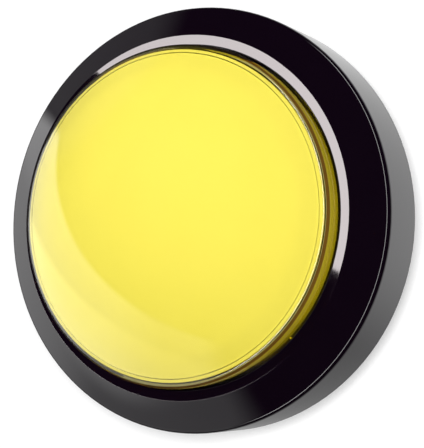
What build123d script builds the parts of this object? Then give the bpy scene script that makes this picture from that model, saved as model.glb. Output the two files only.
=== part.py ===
from build123d import *
import math
import os

# A large domed arcade button. Sizes are in millimetres.
# The origin is on the button's axis at the panel face. +Z points out of the dome, the stem hangs along -Z.

# Dome lens: a clear cap with a straight skirt
LENS_RADIUS = 38.8
LENS_WALL = 1.7
LENS_CORNER_ROUND = 3.0
DOME_RISE = 11.6
DOME_STAND = 3.9
LUG_COUNT = 4
LUG_WIDTH_DEG = 20.0
LUG_HEIGHT = 1.2
LUG_REACH = 0.8

# Bezel ring, from the well outwards
DOME_CLEARANCE = 0.5
LIP_WIDTH = 2.3
LIP_DROP = 0.7
RING_WIDTH = 7.6
RING_RISE = 4.4
SHOULDER_HEIGHT = 15.4
FLANK_DRAFT = 0.8
SHOULDER_ROUND = 1.5
CREST_ROUND = 0.6
LIP_ROUND = 0.5
FOOT_ROUND = 0.8
SKIN = 2.4
WELL_WALL = 2.0
WELL_FLOOR = 3.0
RIB_COUNT = 12
RIB_THICKNESS = 1.6
RIB_RECESS = 2.0

# Stem and its bore
STEM_RADIUS = 11.9
STEM_LEAD = 0.8
NECK_LENGTH = 1.0
THREAD_DEPTH = 0.8
RELIEF_WIDTH = 1.2
RELIEF_LAND = 0.65
GUIDE_RADIUS = 9.4
CATCH_DEPTH = 24.0
CATCH_STEP = 0.8
COLLAR_WALL = 2.0
COLLAR_STAND = 3.0

# Motion of the dome
TRAVEL = 4.5
BOTTOM_GAP = 1.5
STOP_GAP = 0.05
SLIDE_CLEARANCE = 0.2
SEAT_CLEARANCE = 0.2

# Plunger: disc, tube, fingers and leg, and the ring on the disc that carries the lens
DISC_DEPTH = 4.4
DISC_THICKNESS = 2.5
SEAT_WALL = 0.65
TUBE_WALL = 1.8
TUBE_SPLIT_DEPTH = 8.0
FINGER_WIDTH_DEG = 56.0
LEG_WIDTH_DEG = 40.0
HOOK_HEIGHT = 3.0
HOOK_REACH = 0.55
SPRING_RING_HEIGHT = 2.5
DISC_RIB_COUNT = 8
DISC_RIB_THICKNESS = 1.6
DISC_RIB_HEIGHT = 2.6
DISC_RIB_START = 15.5
DISC_RIM = 2.4

# Return spring
SPRING_RADIUS = 13.0
SPRING_TURNS = 4.5
WIRE_RADIUS = 0.6
WIRE_GAP = 0.03

# White diffuser dish under the lens
DIFFUSER_GAP = 0.25
DIFFUSER_CLEARANCE = 0.2
DIFFUSER_WALL = 1.5
DIFFUSER_SKIRT_RADIUS = 30.0
DIFFUSER_RING_HEIGHT = 2.0
DIFFUSER_RING_WALL = 1.5

# Mounting nut
PANEL_SPACE = 6.0
NUT_CLEARANCE = 0.2
NUT_FLATS = 31.0
NUT_HEIGHT = 6.5
NUT_FLANGE_RADIUS = 18.0
NUT_FLANGE_HEIGHT = 2.0
NUT_CORNER_TRIM = 1.0
NUT_LEAD = 0.8

# Bayonet holder for the lamp and the switch
SPIGOT_GAP = 1.5
SPIGOT_LENGTH = 7.0
SPIGOT_WALL = 1.8
HOLDER_FLANGE_RADIUS = 12.8
HOLDER_FLANGE_HEIGHT = 2.5
BAYONET_LUG_HEIGHT = 2.6
BAYONET_LUG_DEG = 15.0
BAYONET_LUG_REACH = 1.6
BAYONET_TURN_DEG = 35.0
BAYONET_CLEARANCE = 0.2
BAYONET_CLEARANCE_DEG = 1.5
LEG_SLOT_CLEARANCE = 0.4
LEG_SLOT_CLEARANCE_DEG = 6.0
SOCKET_WALL = 1.3
CRADLE_THICKNESS = 1.6
CRADLE_BAND = 3.5
CRADLE_ARM_WIDTH = 5.2
CRADLE_CLEARANCE = 0.1
PEG_CLEARANCE = 0.15
PEG_LENGTH = 1.2
REST_PAD_LENGTH = 11.0
REST_PAD_WIDTH = 8.0

# Wedge lamp
LAMP_WIDTH = 9.6
LAMP_THICKNESS = 2.2
LAMP_WEDGE_LENGTH = 9.0
LAMP_COLLAR_RADIUS = 4.9
LAMP_COLLAR_HEIGHT = 4.0
LED_RADIUS = 4.0
LED_FLANGE_RADIUS = 4.6
LED_FLANGE_HEIGHT = 1.0
LED_BODY_HEIGHT = 3.6
LEAD_RADIUS = 0.25
LEAD_SPREAD = 2.0
LEAD_LENGTH = 7.5
LAMP_CLEARANCE = 0.2
STRIP_THICKNESS = 0.5
STRIP_WIDTH = 4.8
LAMP_STRIP_LENGTH = 6.5
LAMP_TAB_OFFSET = 8.4
LAMP_TAB_LENGTH = 11.0
CHANNEL_CLEARANCE = 0.1

# Snap-action switch
CASE_LENGTH = 27.8
CASE_DEPTH = 10.3
CASE_HEIGHT = 15.9
CASE_WALL = 1.8
CASE_BACK = 1.6
COVER_THICKNESS = 1.75
CASE_CORNER_ROUND = 0.8
MOUNT_HOLE_RADIUS = 1.55
MOUNT_HOLE_EDGE = 2.8
BOSS_WALL = 1.05
BUTTON_INSET = 8.2
BUTTON_RADIUS = 1.7
BUTTON_STAND = 1.7
BUTTON_TRAVEL = 1.2
BUTTON_FLANGE_RADIUS = 2.4
BUTTON_FLANGE_HEIGHT = 1.0
BUTTON_NOSE_RADIUS = 1.2
BUTTON_ROUND = 0.6
BUTTON_CLEARANCE = 0.15
TOUCH_GAP = 0.05
TILT_GAP = 0.15
CASE_DROP = 2.2

# Blade, contacts and terminals
BLADE_DEPTH = 8.3
BLADE_THICKNESS = 0.3
BLADE_WIDTH = 4.0
BLADE_OVERHANG = 1.4
CONTACT_RADIUS = 1.3
CONTACT_HEAD = 0.45
CONTACT_SHANK_RADIUS = 0.7
CONTACT_HOLE_CLEARANCE = 0.03
CONTACT_STROKE = 0.7
TAB_LENGTH = 7.9
COMMON_TAB_INSET = 8.2
CLOSED_TAB_INSET = 4.4
COMMON_STEM_WIDTH = 1.6
PIVOT_RADIUS = 0.6
SLOT_CLEARANCE = 0.1
TAB_HOLE_RADIUS = 0.8
TAB_CORNER = 1.0

# Heights and radii that follow from the sizes above
WELL_RADIUS = LENS_RADIUS + DOME_CLEARANCE
CREST_RADIUS = WELL_RADIUS + LIP_WIDTH
SHOULDER_RADIUS = CREST_RADIUS + RING_WIDTH
BEZEL_RADIUS = SHOULDER_RADIUS + FLANK_DRAFT
CREST_HEIGHT = SHOULDER_HEIGHT + RING_RISE
RING_SLOPE = math.atan2(RING_RISE, RING_WIDTH)

LENS_INNER = LENS_RADIUS - LENS_WALL
DOME_CORNER = CREST_HEIGHT + DOME_STAND
DOME_APEX = DOME_CORNER + DOME_RISE
DOME_SPHERE = (LENS_RADIUS**2 + DOME_RISE**2) / (2 * DOME_RISE)
DOME_CENTRE = DOME_APEX - DOME_SPHERE
LENS_BOTTOM = WELL_FLOOR + TRAVEL + BOTTOM_GAP

DISC_TOP = DOME_CORNER - DISC_DEPTH
DISC_BOTTOM = DISC_TOP - DISC_THICKNESS
SPRING_LENGTH = DISC_BOTTOM - WELL_FLOOR
DISC_RADIUS = LENS_INNER - SEAT_CLEARANCE
SEAT_INNER = DISC_RADIUS - SEAT_WALL
TUBE_RADIUS = GUIDE_RADIUS - SLIDE_CLEARANCE
TUBE_BORE = TUBE_RADIUS - TUBE_WALL
COLLAR_RADIUS = GUIDE_RADIUS + COLLAR_WALL
COLLAR_TOP = WELL_FLOOR + COLLAR_STAND

SOCKET_RADIUS = GUIDE_RADIUS + CATCH_STEP
HOOK_TOP = -CATCH_DEPTH - STOP_GAP
HOOK_BOTTOM = HOOK_TOP - HOOK_HEIGHT
SPIGOT_TOP = HOOK_BOTTOM - TRAVEL - SPIGOT_GAP
STEM_END = SPIGOT_TOP - SPIGOT_LENGTH
SPIGOT_RADIUS = SOCKET_RADIUS - SEAT_CLEARANCE
FLANGE_BOTTOM = STEM_END - HOLDER_FLANGE_HEIGHT
BAYONET_LUG_TOP = (SPIGOT_TOP + STEM_END + BAYONET_LUG_HEIGHT) / 2
BAYONET_LUG_BOTTOM = BAYONET_LUG_TOP - BAYONET_LUG_HEIGHT
RELIEF_RADIUS = STEM_RADIUS - THREAD_DEPTH
THREAD_TOP = -NECK_LENGTH - RELIEF_WIDTH
RELIEF_BOTTOM = BAYONET_LUG_TOP + BAYONET_CLEARANCE + RELIEF_LAND
THREAD_BOTTOM = RELIEF_BOTTOM + RELIEF_WIDTH

NUT_TOP = -PANEL_SPACE
NUT_BOTTOM = NUT_TOP - NUT_FLANGE_HEIGHT - NUT_HEIGHT
NUT_BORE = STEM_RADIUS + NUT_CLEARANCE

LAMP_FACE = LAMP_THICKNESS / 2 + 2 * LEAD_RADIUS
LAMP_STRIP_OUTER = LAMP_FACE + STRIP_THICKNESS
LAMP_BOTTOM = STEM_END - HOLDER_FLANGE_HEIGHT / 2 + STRIP_THICKNESS

LEG_X = (TUBE_BORE + TUBE_RADIUS) / 2
CASE_TOP = FLANGE_BOTTOM - CASE_DROP
CASE_BOTTOM = CASE_TOP - CASE_HEIGHT
CASE_RIGHT = LEG_X + BUTTON_INSET
CASE_LEFT = CASE_RIGHT - CASE_LENGTH
CASE_REAR = -CASE_DEPTH / 2
CASE_FRONT = CASE_DEPTH / 2
SPLIT = CASE_FRONT - COVER_THICKNESS
LOW_HOLE = (CASE_LEFT + MOUNT_HOLE_EDGE, CASE_BOTTOM + MOUNT_HOLE_EDGE)
HIGH_HOLE = (CASE_RIGHT - MOUNT_HOLE_EDGE, CASE_TOP - MOUNT_HOLE_EDGE)
BUTTON_TOP = CASE_TOP + BUTTON_STAND
LEG_BOTTOM = BUTTON_TOP - BUTTON_TRAVEL + TRAVEL + TOUCH_GAP

COMMON_X = CASE_LEFT + COMMON_TAB_INSET
CLOSED_X = CASE_RIGHT - CLOSED_TAB_INSET
OPEN_X = (COMMON_X + CLOSED_X) / 2
BLADE_Z = CASE_TOP - BLADE_DEPTH
BLADE_TOP = BLADE_Z + BLADE_THICKNESS / 2
BLADE_BOTTOM = BLADE_Z - BLADE_THICKNESS / 2
PIVOT_X = COMMON_X - STRIP_WIDTH / 2 + COMMON_STEM_WIDTH
PIVOT_Z = BLADE_BOTTOM - TOUCH_GAP - PIVOT_RADIUS
CONTACT_X = CLOSED_X
CLOSED_FACE = BLADE_TOP + CONTACT_HEAD + TOUCH_GAP
OPEN_FACE = BLADE_BOTTOM - CONTACT_HEAD - CONTACT_STROKE - TILT_GAP
BLADE_SWING = CONTACT_STROKE / (CONTACT_X - PIVOT_X)
BUTTON_NOSE = BLADE_TOP + BUTTON_TRAVEL - BLADE_SWING * (LEG_X - PIVOT_X) + TILT_GAP
TAB_END = CASE_BOTTOM - TAB_LENGTH


def profile(points):
    """A flat section from (radius, height) corners, standing in the XZ plane."""
    return make_face(Polyline(*points, close=True))


def rounded(section, corner, radius):
    """The section with the corner nearest to the given point rounded off."""
    near = section.vertices().sort_by_distance((corner[0], corner[1], 0))[0]
    return fillet(near, radius)


def turned(section, sweep_deg=360.0):
    """A section turned about the button's axis."""
    return revolve(Plane.XZ * section, Axis.Z, sweep_deg)


def ring(inner, outer, bottom, top):
    """A plain tube about the axis."""
    return turned(profile([(inner, bottom), (outer, bottom), (outer, top), (inner, top)]))


def sector(inner, outer, bottom, top, middle_deg, width_deg):
    """A piece of a tube: its radii, heights, middle direction and width."""
    section = profile([(inner, bottom), (outer, bottom), (outer, top), (inner, top)])
    return Rot(0, 0, middle_deg - width_deg / 2) * turned(section, width_deg)


def block(x_range, y_range, z_range):
    """A box between three pairs of limits."""
    middle = [(low + high) / 2 for low, high in (x_range, y_range, z_range)]
    sides = [high - low for low, high in (x_range, y_range, z_range)]
    return Pos(*middle) * Box(*sides)


def cross_pin(x, z, radius, y_range):
    """A round bar along Y."""
    length = y_range[1] - y_range[0]
    return Pos(x, (y_range[0] + y_range[1]) / 2, z) * Rot(90, 0, 0) * Cylinder(radius, length)


def dome_height(radius, sphere):
    """Height of a sphere about the dome's centre, above a point at this radius."""
    return DOME_CENTRE + math.sqrt(sphere**2 - radius**2)


def dome_arc(sphere, inner, outer):
    """The sphere's meridian between two radii."""
    points = [(r, dome_height(r, sphere)) for r in (inner, (inner + outer) / 2, outer)]
    return ThreePointArc(*points)


def around(count, first_deg=0.0):
    """Evenly spaced directions about the axis."""
    return [first_deg + 360.0 * i / count for i in range(count)]


def bezel_housing():
    """Black moulding: ring, well, panel face and stem in one piece, cored out from below.

    The stem has a turned relief above and below its threaded length.
    """
    section = profile(
        [
            (STEM_RADIUS, 0),
            (BEZEL_RADIUS, 0),
            (SHOULDER_RADIUS, SHOULDER_HEIGHT),
            (CREST_RADIUS, CREST_HEIGHT),
            (WELL_RADIUS, CREST_HEIGHT - LIP_DROP),
            (WELL_RADIUS, WELL_FLOOR),
            (COLLAR_RADIUS, WELL_FLOOR),
            (COLLAR_RADIUS, COLLAR_TOP),
            (GUIDE_RADIUS, COLLAR_TOP),
            (GUIDE_RADIUS, -CATCH_DEPTH),
            (SOCKET_RADIUS, -CATCH_DEPTH),
            (SOCKET_RADIUS, STEM_END),
            (STEM_RADIUS - STEM_LEAD, STEM_END),
            (STEM_RADIUS, STEM_END + STEM_LEAD),
            (STEM_RADIUS, RELIEF_BOTTOM),
            (RELIEF_RADIUS, RELIEF_BOTTOM),
            (RELIEF_RADIUS, THREAD_BOTTOM),
            (STEM_RADIUS, THREAD_BOTTOM),
            (STEM_RADIUS, THREAD_TOP),
            (RELIEF_RADIUS, THREAD_TOP),
            (RELIEF_RADIUS, -NECK_LENGTH),
            (STEM_RADIUS, -NECK_LENGTH),
        ]
    )
    section = rounded(section, (BEZEL_RADIUS, 0), FOOT_ROUND)
    section = rounded(section, (SHOULDER_RADIUS, SHOULDER_HEIGHT), SHOULDER_ROUND)
    section = rounded(section, (CREST_RADIUS, CREST_HEIGHT), CREST_ROUND)
    section = rounded(section, (WELL_RADIUS, CREST_HEIGHT - LIP_DROP), LIP_ROUND)
    body = turned(section)
    return body - coring_groove() - bayonet_slots()


def coring_groove():
    """The hollow under the ring, with the stiffening ribs left standing in it."""
    inner = WELL_RADIUS + WELL_WALL
    outer = SHOULDER_RADIUS - SKIN
    drop = SKIN / math.cos(RING_SLOPE)
    inner_roof = CREST_HEIGHT - (inner - CREST_RADIUS) * math.tan(RING_SLOPE) - drop
    outer_roof = CREST_HEIGHT - (outer - CREST_RADIUS) * math.tan(RING_SLOPE) - drop
    below = -FOOT_ROUND
    groove = turned(profile([(inner, below), (outer, below), (outer, outer_roof), (inner, inner_roof)]))
    half = RIB_THICKNESS / 2
    for direction in around(RIB_COUNT):
        rib = block((inner - SKIN, outer + SKIN), (-half, half), (RIB_RECESS, CREST_HEIGHT))
        groove -= Rot(0, 0, direction) * rib
    return groove


def bayonet_slots():
    """Two L-shaped slots through the stem's end, where the holder's lugs go in and turn."""
    inner = GUIDE_RADIUS
    outer = STEM_RADIUS + SKIN
    bottom = BAYONET_LUG_BOTTOM - BAYONET_CLEARANCE
    top = BAYONET_LUG_TOP + BAYONET_CLEARANCE
    width = BAYONET_LUG_DEG + 2 * BAYONET_CLEARANCE_DEG
    slots = Part()
    for seat in (90.0, 270.0):
        entry = seat - BAYONET_TURN_DEG
        slots += sector(inner, outer, STEM_END - STEM_LEAD, top, entry, width)
        slots += sector(inner, outer, bottom, top, (seat + entry) / 2, BAYONET_TURN_DEG + width)
    return slots


def dome_lens():
    """Clear yellow cap: domed top, rounded corner, straight skirt and snap lugs inside."""
    outer_cap = dome_arc(DOME_SPHERE, 0, LENS_RADIUS)
    inner_cap = dome_arc(DOME_SPHERE - LENS_WALL, 0, LENS_INNER)
    skirt = Polyline(
        outer_cap @ 1,
        (LENS_RADIUS, LENS_BOTTOM),
        (LENS_INNER, LENS_BOTTOM),
        inner_cap @ 1,
    )
    section = make_face([outer_cap, skirt, inner_cap, Line(inner_cap @ 0, outer_cap @ 0)])
    section = rounded(section, (LENS_RADIUS, DOME_CORNER), LENS_CORNER_ROUND)
    lens = turned(section)
    top = DISC_BOTTOM - STOP_GAP
    middle = LENS_INNER + LENS_WALL / 2
    for direction in around(LUG_COUNT, 45.0):
        lens += sector(LENS_INNER - LUG_REACH, middle, top - LUG_HEIGHT, top, direction, LUG_WIDTH_DEG)
    return lens


def light_diffuser():
    """White dish close under the lens, on a round wall that stands on the plunger disc."""
    edge = SEAT_INNER - DIFFUSER_CLEARANCE
    over = DOME_SPHERE - LENS_WALL - DIFFUSER_GAP
    under = over - DIFFUSER_WALL
    wall_outer = DIFFUSER_SKIRT_RADIUS
    wall_inner = wall_outer - DIFFUSER_WALL
    top = dome_arc(over, 0, edge)
    brim = dome_arc(under, wall_outer, edge)
    ceiling = dome_arc(under, 0, wall_inner)
    rim = Line(top @ 1, brim @ 1)
    wall = Polyline(brim @ 0, (wall_outer, DISC_TOP), (wall_inner, DISC_TOP), ceiling @ 1)
    return turned(make_face([top, rim, brim, wall, ceiling, Line(ceiling @ 0, top @ 0)]))


def lens_seat_ring():
    """White ring on the plunger disc, which carries the lens close to its corner."""
    seat = dome_arc(DOME_SPHERE - LENS_WALL - STOP_GAP, SEAT_INNER, DISC_RADIUS)
    wall = Polyline(seat @ 1, (DISC_RADIUS, DISC_TOP), (SEAT_INNER, DISC_TOP), seat @ 0)
    return turned(make_face([seat, wall]))


def plunger():
    """White moulding: ribbed disc under the lens, tube in the stem, snap fingers and switch leg."""
    split = -TUBE_SPLIT_DEPTH
    body = ring(TUBE_BORE, DISC_RADIUS, DISC_BOTTOM, DISC_TOP)
    body += ring(TUBE_BORE, TUBE_RADIUS, split, DISC_TOP)
    spring_ring = SPRING_RADIUS - WIRE_RADIUS - SEAT_CLEARANCE
    body += ring(TUBE_BORE, spring_ring, DISC_BOTTOM - SPRING_RING_HEIGHT, DISC_TOP)
    dish_ring = DIFFUSER_SKIRT_RADIUS - DIFFUSER_WALL - SEAT_CLEARANCE
    body += ring(dish_ring - DIFFUSER_RING_WALL, dish_ring, DISC_BOTTOM, DISC_TOP + DIFFUSER_RING_HEIGHT)
    half = DISC_RIB_THICKNESS / 2
    rib_end = DISC_RADIUS - DISC_RIM
    for direction in around(DISC_RIB_COUNT):
        rib = block((DISC_RIB_START, rib_end), (-half, half), (DISC_BOTTOM - DISC_RIB_HEIGHT, DISC_TOP))
        body += Rot(0, 0, direction) * rib
    hook = profile(
        [
            (TUBE_BORE, HOOK_BOTTOM),
            (TUBE_RADIUS, HOOK_BOTTOM),
            (GUIDE_RADIUS + HOOK_REACH, HOOK_TOP),
            (TUBE_BORE, HOOK_TOP),
        ]
    )
    for direction in (90.0, 270.0):
        body += sector(TUBE_BORE, TUBE_RADIUS, HOOK_BOTTOM, DISC_BOTTOM, direction, FINGER_WIDTH_DEG)
        body += Rot(0, 0, direction - FINGER_WIDTH_DEG / 2) * turned(hook, FINGER_WIDTH_DEG)
    body += sector(TUBE_BORE, TUBE_RADIUS, HOOK_BOTTOM, DISC_BOTTOM, 180.0, LEG_WIDTH_DEG)
    body += sector(TUBE_BORE, TUBE_RADIUS, LEG_BOTTOM, DISC_BOTTOM, 0.0, LEG_WIDTH_DEG)
    return body


def return_spring():
    """Round-wire coil between the well floor and the plunger disc."""
    lift = WIRE_RADIUS + WIRE_GAP
    height = SPRING_LENGTH - 2 * lift
    path = Helix(pitch=height / SPRING_TURNS, height=height, radius=SPRING_RADIUS)
    section = Plane(origin=path @ 0, z_dir=path % 0) * Circle(WIRE_RADIUS)
    return Pos(0, 0, WELL_FLOOR + lift) * sweep(section, path, is_frenet=True)


def mounting_nut():
    """Six-sided plastic nut with a broad washer face towards the panel."""
    flange_bottom = NUT_TOP - NUT_FLANGE_HEIGHT
    hexagon = RegularPolygon(NUT_FLATS / 2, 6, major_radius=False)
    grip = extrude(Pos(0, 0, NUT_BOTTOM) * hexagon, NUT_HEIGHT + NUT_FLANGE_HEIGHT / 2)
    corner = NUT_FLATS / math.sqrt(3)
    trim = profile(
        [
            (0, NUT_BOTTOM),
            (corner - 2 * NUT_CORNER_TRIM, NUT_BOTTOM),
            (corner, NUT_BOTTOM + NUT_CORNER_TRIM),
            (corner, NUT_TOP),
            (0, NUT_TOP),
        ]
    )
    nut = (grip & turned(trim)) + ring(NUT_BORE, NUT_FLANGE_RADIUS, flange_bottom, NUT_TOP)
    bore = profile(
        [
            (0, NUT_BOTTOM),
            (NUT_BORE + NUT_LEAD, NUT_BOTTOM),
            (NUT_BORE, NUT_BOTTOM + NUT_LEAD),
            (NUT_BORE, NUT_TOP - NUT_LEAD),
            (NUT_BORE + NUT_LEAD, NUT_TOP),
            (0, NUT_TOP),
        ]
    )
    return nut - turned(bore)


def lamp_switch_holder():
    """Bayonet plug for the stem's end, with the lamp socket above and the switch cradle below."""
    holder = ring(SPIGOT_RADIUS - SPIGOT_WALL, SPIGOT_RADIUS, STEM_END, SPIGOT_TOP)
    flange = Cylinder(HOLDER_FLANGE_RADIUS, HOLDER_FLANGE_HEIGHT)
    holder += Pos(0, 0, (FLANGE_BOTTOM + STEM_END) / 2) * flange
    pocket_x = LAMP_WIDTH / 2 + LAMP_CLEARANCE
    pocket_y = LAMP_STRIP_OUTER + CHANNEL_CLEARANCE
    tower_x = pocket_x + SOCKET_WALL
    tower_y = pocket_y + SOCKET_WALL
    holder += block((-tower_x, tower_x), (-tower_y, tower_y), (STEM_END, SPIGOT_TOP))
    for seat in (90.0, 270.0):
        reach = SPIGOT_RADIUS + BAYONET_LUG_REACH
        inner = SPIGOT_RADIUS - SPIGOT_WALL / 2
        holder += sector(inner, reach, BAYONET_LUG_BOTTOM, BAYONET_LUG_TOP, seat, BAYONET_LUG_DEG)
    pad_left = CASE_LEFT + MOUNT_HOLE_EDGE
    pad_half = REST_PAD_WIDTH / 2
    holder += block((pad_left, pad_left + REST_PAD_LENGTH), (-pad_half, pad_half), (CASE_TOP, STEM_END))
    for side in (-1, 1):
        holder += cradle_side(side)
    holder -= block((-pocket_x, pocket_x), (-pocket_y, pocket_y), (LAMP_BOTTOM, SPIGOT_TOP))
    channel_x = STRIP_WIDTH / 2 + CHANNEL_CLEARANCE
    channel_y = LAMP_TAB_OFFSET + STRIP_THICKNESS / 2 + CHANNEL_CLEARANCE
    floor = LAMP_BOTTOM - STRIP_THICKNESS - CHANNEL_CLEARANCE
    holder -= block((-channel_x, channel_x), (-channel_y, channel_y), (floor, LAMP_BOTTOM))
    tab_inner = LAMP_TAB_OFFSET - STRIP_THICKNESS / 2 - CHANNEL_CLEARANCE
    for side in (-1, 1):
        tab_y = sorted((side * tab_inner, side * channel_y))
        holder -= block((-channel_x, channel_x), tab_y, (CASE_BOTTOM, LAMP_BOTTOM))
    leg_inner = TUBE_BORE - LEG_SLOT_CLEARANCE
    leg_outer = TUBE_RADIUS + LEG_SLOT_CLEARANCE
    leg_width = LEG_WIDTH_DEG + 2 * LEG_SLOT_CLEARANCE_DEG
    holder -= sector(leg_inner, SPIGOT_RADIUS + SPIGOT_WALL, STEM_END, SPIGOT_TOP, 0.0, leg_width)
    holder -= sector(leg_inner, leg_outer, FLANGE_BOTTOM, SPIGOT_TOP, 0.0, leg_width)
    return holder


def cradle_side(side):
    """One cheek of the switch cradle: a band under the flange and two arms that end in pegs."""
    inner = CASE_FRONT + CRADLE_CLEARANCE
    outer = inner + CRADLE_THICKNESS
    faces = sorted((side * inner, side * outer))
    half = CRADLE_ARM_WIDTH / 2
    band_x = (LOW_HOLE[0] - half, HIGH_HOLE[0] + half)
    cheek = block(band_x, faces, (FLANGE_BOTTOM - CRADLE_BAND, FLANGE_BOTTOM))
    peg_faces = sorted((side * (inner - CRADLE_CLEARANCE - PEG_LENGTH), side * outer))
    for x, z in (LOW_HOLE, HIGH_HOLE):
        cheek += block((x - half, x + half), faces, (z, FLANGE_BOTTOM))
        cheek += cross_pin(x, z, half, faces)
        cheek += cross_pin(x, z, MOUNT_HOLE_RADIUS - PEG_CLEARANCE, peg_faces)
    flange_edge = sorted((side * (inner - CRADLE_THICKNESS), side * outer))
    root_half = math.sqrt(HOLDER_FLANGE_RADIUS**2 - outer**2)
    cheek += block((-root_half, root_half), flange_edge, (FLANGE_BOTTOM, STEM_END))
    return cheek


def lamp_base():
    """Plastic wedge base with a round collar under the LED."""
    half_x = LAMP_WIDTH / 2
    half_y = LAMP_THICKNESS / 2
    top = LAMP_BOTTOM + LAMP_WEDGE_LENGTH
    wedge = block((-half_x, half_x), (-half_y, half_y), (LAMP_BOTTOM, top))
    collar = Pos(0, 0, top + LAMP_COLLAR_HEIGHT / 2) * Cylinder(LAMP_COLLAR_RADIUS, LAMP_COLLAR_HEIGHT)
    return wedge + collar


def lamp_led():
    """Clear LED with a flange and a round nose."""
    seat = LAMP_BOTTOM + LAMP_WEDGE_LENGTH + LAMP_COLLAR_HEIGHT
    shoulder = seat + LED_FLANGE_HEIGHT + LED_BODY_HEIGHT
    nose = ThreePointArc(
        (LED_RADIUS, shoulder),
        (LED_RADIUS * math.cos(math.pi / 4), shoulder + LED_RADIUS * math.sin(math.pi / 4)),
        (0, shoulder + LED_RADIUS),
    )
    side = Polyline(
        (0, shoulder + LED_RADIUS),
        (0, seat),
        (LED_FLANGE_RADIUS, seat),
        (LED_FLANGE_RADIUS, seat + LED_FLANGE_HEIGHT),
        (LED_RADIUS, seat + LED_FLANGE_HEIGHT),
        (LED_RADIUS, shoulder),
    )
    return turned(make_face([nose, side]))


def lamp_leads():
    """The lamp's two wires, laid along opposite faces of the wedge."""
    top = LAMP_BOTTOM + LAMP_WEDGE_LENGTH
    wires = []
    for side in (-1, 1):
        y = side * (LAMP_THICKNESS / 2 + LEAD_RADIUS)
        middle = top - LEAD_LENGTH / 2
        wires.append(Pos(side * LEAD_SPREAD, y, middle) * Cylinder(LEAD_RADIUS, LEAD_LENGTH))
    return Compound(children=wires)


def lamp_contact(side):
    """Sprung strip beside the lamp's wedge, folded out under the flange into a supply tab."""
    half = STRIP_WIDTH / 2
    bottom = LAMP_BOTTOM - STRIP_THICKNESS
    spring_y = sorted((side * LAMP_FACE, side * LAMP_STRIP_OUTER))
    tab_outer = LAMP_TAB_OFFSET + STRIP_THICKNESS / 2
    tab_y = sorted((side * (tab_outer - STRIP_THICKNESS), side * tab_outer))
    foot_y = sorted((side * LAMP_FACE, side * tab_outer))
    strip = block((-half, half), spring_y, (bottom, LAMP_BOTTOM + LAMP_STRIP_LENGTH))
    strip += block((-half, half), foot_y, (bottom, LAMP_BOTTOM))
    tab = block((-half, half), tab_y, (LAMP_BOTTOM - LAMP_TAB_LENGTH, LAMP_BOTTOM))
    tab -= cross_pin(0, LAMP_BOTTOM - LAMP_TAB_LENGTH + half, TAB_HOLE_RADIUS, tab_y)
    return strip + trimmed_tab(tab)


def trimmed_tab(tab):
    """A push-on tab with the corners of its free end cut off."""
    lowest = tab.edges().filter_by(Axis.Y).group_by(Axis.Z)[0]
    return chamfer(lowest, TAB_CORNER)


def switch_outline(y_range):
    """The switch body's outer block between two depths, with its corners rounded."""
    body = block((CASE_LEFT, CASE_RIGHT), y_range, (CASE_BOTTOM, CASE_TOP))
    return fillet(body.edges().filter_by(Axis.Y), CASE_CORNER_ROUND)


def wall_slots(gap):
    """The places in the case's walls for the button and the three tabs, wider by gap on each side."""
    slots = []
    half_button = BUTTON_RADIUS + BUTTON_CLEARANCE + gap
    button_x = (LEG_X - half_button, LEG_X + half_button)
    slots.append((button_x, -half_button, (CASE_TOP - CASE_WALL, CASE_TOP)))
    half_tab = STRIP_WIDTH / 2 + SLOT_CLEARANCE + gap
    tab_rear = -STRIP_THICKNESS / 2 - SLOT_CLEARANCE
    for x in (COMMON_X, OPEN_X, CLOSED_X):
        slots.append(((x - half_tab, x + half_tab), tab_rear, (CASE_BOTTOM, CASE_BOTTOM + CASE_WALL)))
    return slots


def microswitch_case():
    """Open tray of the switch, with the mounting bosses in it and slots in its edge."""
    case = switch_outline((CASE_REAR, SPLIT))
    cavity_x = (CASE_LEFT + CASE_WALL, CASE_RIGHT - CASE_WALL)
    cavity_z = (CASE_BOTTOM + CASE_WALL, CASE_TOP - CASE_WALL)
    cavity = block(cavity_x, (CASE_REAR + CASE_BACK, SPLIT), cavity_z)
    for x, z in (LOW_HOLE, HIGH_HOLE):
        cavity -= cross_pin(x, z, MOUNT_HOLE_RADIUS + BOSS_WALL, (CASE_REAR, SPLIT))
    case -= cavity
    for x_range, rear, z_range in wall_slots(0.0):
        case -= block(x_range, (rear, SPLIT), z_range)
    for x, z in (LOW_HOLE, HIGH_HOLE):
        case -= cross_pin(x, z, MOUNT_HOLE_RADIUS, (CASE_REAR, SPLIT))
    return case


def microswitch_cover():
    """Lid of the switch, with tongues that close the slots behind the button and the tabs."""
    cover = switch_outline((SPLIT, CASE_FRONT))
    button_front = BUTTON_RADIUS + BUTTON_CLEARANCE
    tab_front = STRIP_THICKNESS / 2 + SLOT_CLEARANCE
    for x_range, rear, z_range in wall_slots(-SLOT_CLEARANCE):
        front = tab_front if z_range[0] == CASE_BOTTOM else button_front
        cover += block(x_range, (front, CASE_FRONT - COVER_THICKNESS / 2), z_range)
    for x, z in (LOW_HOLE, HIGH_HOLE):
        cover -= cross_pin(x, z, MOUNT_HOLE_RADIUS, (SPLIT, CASE_FRONT))
    return cover


def switch_button():
    """The switch's own plunger: round head, flange inside the case and a nose over the blade."""
    flange_top = CASE_TOP - CASE_WALL - SLOT_CLEARANCE
    flange_bottom = flange_top - BUTTON_FLANGE_HEIGHT
    section = profile(
        [
            (0, BUTTON_NOSE),
            (BUTTON_NOSE_RADIUS, BUTTON_NOSE),
            (BUTTON_NOSE_RADIUS, flange_bottom),
            (BUTTON_FLANGE_RADIUS, flange_bottom),
            (BUTTON_FLANGE_RADIUS, flange_top),
            (BUTTON_RADIUS, flange_top),
            (BUTTON_RADIUS, BUTTON_TOP),
            (0, BUTTON_TOP),
        ]
    )
    section = rounded(section, (BUTTON_RADIUS, BUTTON_TOP), BUTTON_ROUND)
    return Pos(LEG_X, 0, 0) * turned(section)


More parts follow.
